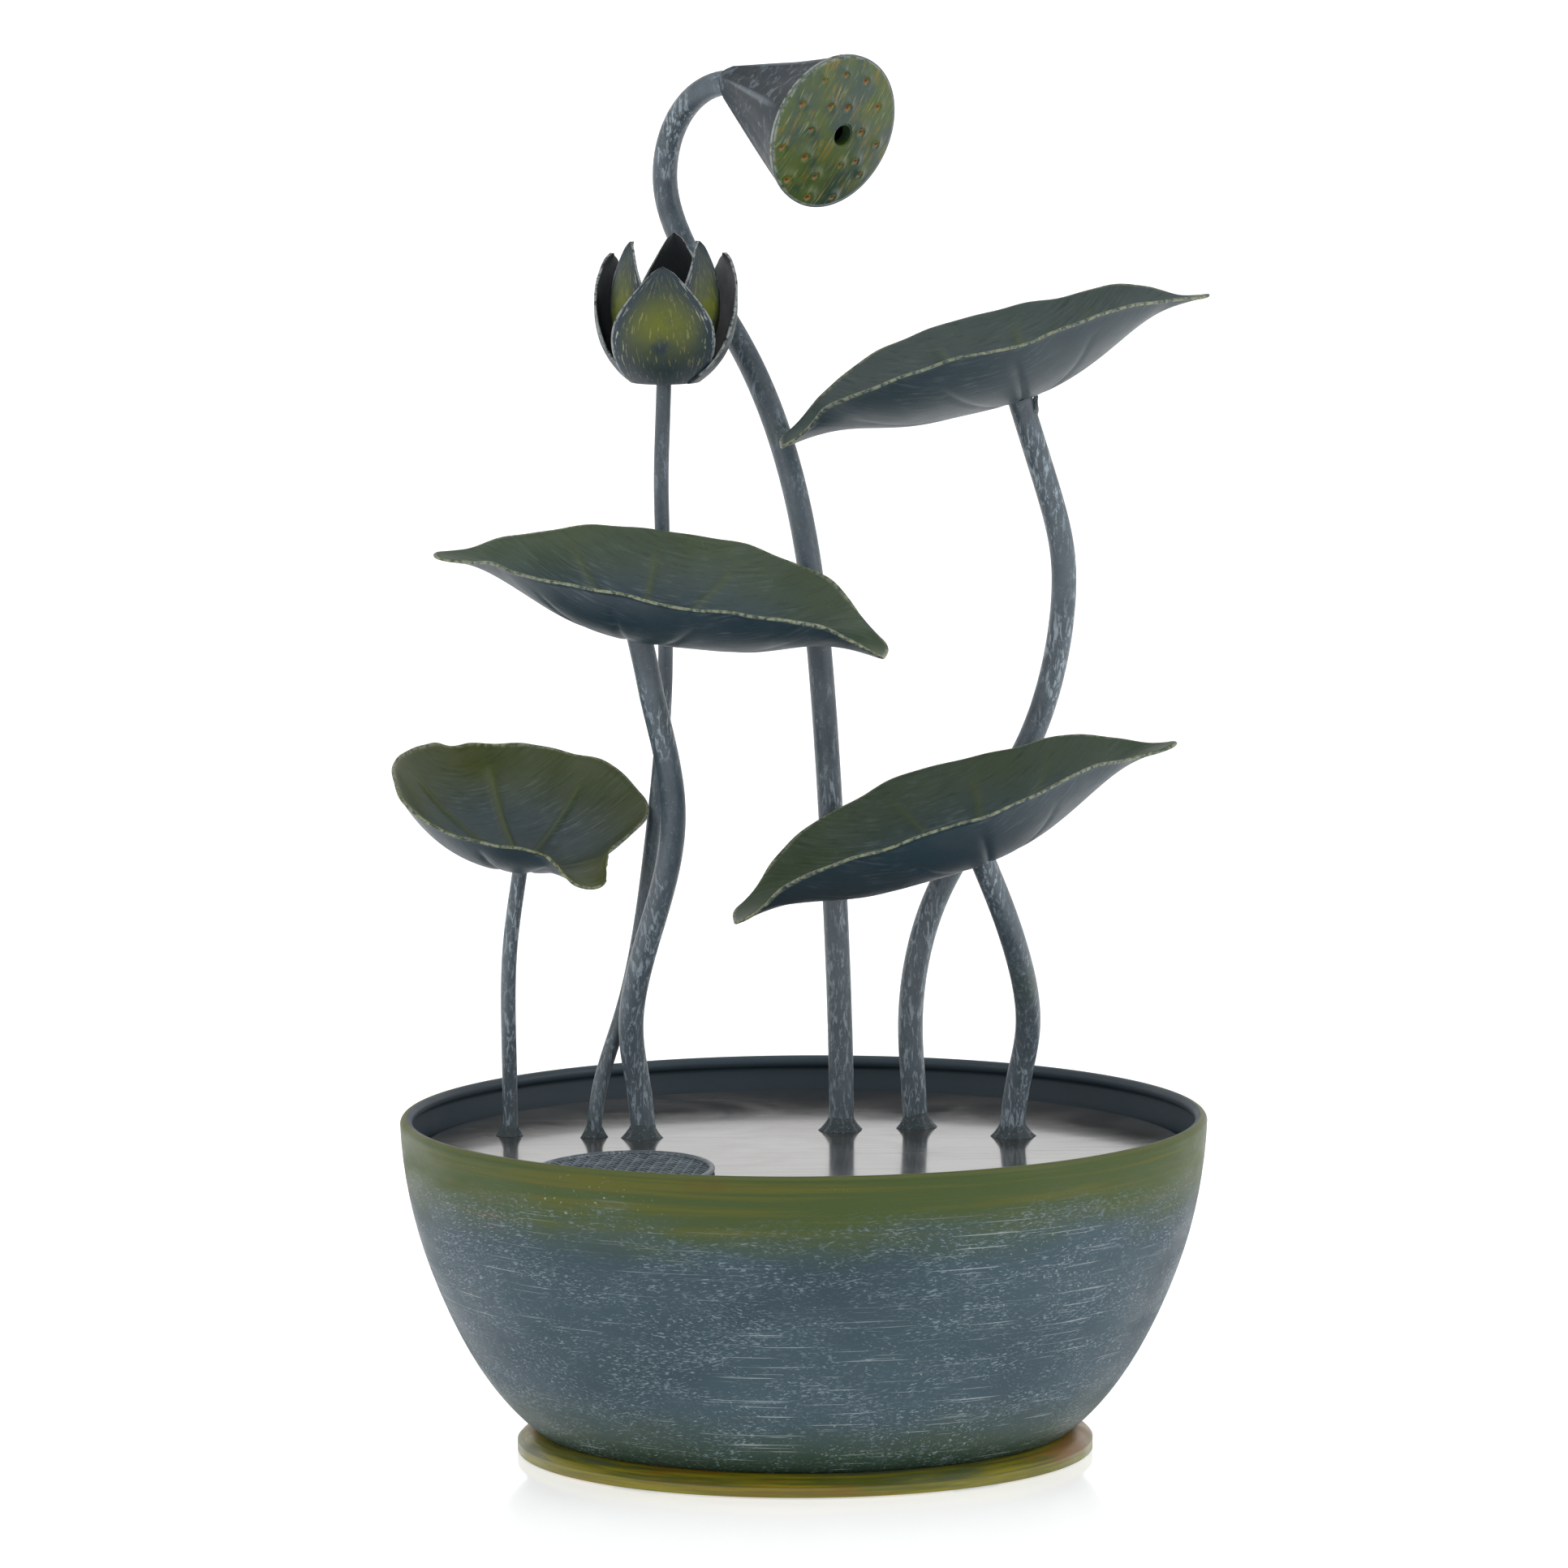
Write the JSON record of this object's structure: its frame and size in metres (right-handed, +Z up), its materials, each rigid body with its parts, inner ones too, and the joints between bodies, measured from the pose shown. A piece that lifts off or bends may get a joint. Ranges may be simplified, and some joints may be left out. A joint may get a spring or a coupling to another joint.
{
  "type": "tabletop water fountain",
  "caption": "Tabletop water fountain: round metal bowl with a flat deck, leaning stems, stepped lotus leaves, a lotus flower, a seed-pod spout and a pump inside.",
  "frame": {"origin": "on the table under the middle of the base plate", "axes": "+Z up, front of the fountain towards -Y, +X to the viewer's right"},
  "size_m": [0.2543, 0.282, 0.4313],
  "materials": {
    "bowl_paint": "blue-grey paint over green, brushed with silver",
    "base_paint": "olive bronze paint, worn edge",
    "deck_paint": "dark wet-looking lacquer",
    "stem_paint": "blue-grey paint with silver dry brushing",
    "leaf_paint": "grey-green patina paint, pale worn edges",
    "petal_paint": "blue-grey paint with olive centres and worn edges",
    "pod_paint": "grey-olive patina paint",
    "mesh_wire": "dark painted woven wire",
    "rubber_black": "matte",
    "cord_black": "satin cable sheath",
    "plug_black": "moulded plug",
    "pump_black": "moulded, fine grain",
    "potting": "cast sealing resin",
    "lamination": "stacked laminations",
    "winding": "enamelled copper wire",
    "shaft_steel": "ground",
    "magnet": "sintered ferrite",
    "impeller_plastic": "white moulding",
    "hose_clear": "soft pale vinyl"
  },
  "bodies": {
    "bowl_body": {"base_plate": "base_paint", "foot_pads": "rubber_black", "bowl": "bowl_paint", "deck_ledges": "deck_paint", "cord_grommet": "rubber_black", "power_cord": "cord_black", "dc_plug": "plug_black", "pump_housing": "pump_black", "pump_back_cover": "potting", "stator_core": "lamination", "coil": "winding", "rotor_shaft": "shaft_steel", "shaft_bushes": "rubber_black", "volute_cover": "pump_black", "cover_o_ring": "rubber_black", "suction_cups": "rubber_black", "hose": "hose_clear"},
    "deck_body": {"deck": "deck_paint", "foot_welds": "stem_paint", "spigot": "stem_paint", "spout_stem": "stem_paint", "pod_cone": "pod_paint", "pod_face": "pod_paint", "pod_nozzle": "pod_paint", "flower_stem": "stem_paint", "flower_outer": "petal_paint", "flower_inner": "petal_paint", "upper_leaf": "leaf_paint", "upper_leaf_stem": "stem_paint", "middle_leaf": "leaf_paint", "middle_leaf_stem": "stem_paint", "lower_leaf": "leaf_paint", "lower_leaf_stem": "stem_paint", "small_leaf": "leaf_paint", "small_leaf_stem": "stem_paint"},
    "strainer": {"strainer_ring": "stem_paint", "strainer_mesh": "mesh_wire"},
    "rotor": {"impeller": "impeller_plastic", "rotor_magnet": "magnet"},
    "pump_intake": {"intake_grille": "pump_black"},
    "flow_control": {"flow_slider": "pump_black"}
  },
  "joints": [
    {"name": "deck_lift", "type": "slide", "parent": "bowl_body", "child": "deck_body", "axis": [0, 0, 1], "range_m": [0, 0.12]},
    {"name": "strainer_lift", "type": "slide", "parent": "deck_body", "child": "strainer", "axis": [0, 0, 1], "range_m": [0, 0.05]},
    {"name": "rotor_spin", "type": "hinge", "parent": "bowl_body", "child": "rotor", "pos_m": [0.003, 0.045, 0.03], "axis": [0, 1, 0], "continuous": true},
    {"name": "intake_pull", "type": "slide", "parent": "bowl_body", "child": "pump_intake", "axis": [0, -1, 0], "range_m": [0, 0.03]},
    {"name": "flow_adjust", "type": "slide", "parent": "pump_intake", "child": "flow_control", "axis": [1, 0, 0], "range_m": [0, 0.008]}
  ]
}
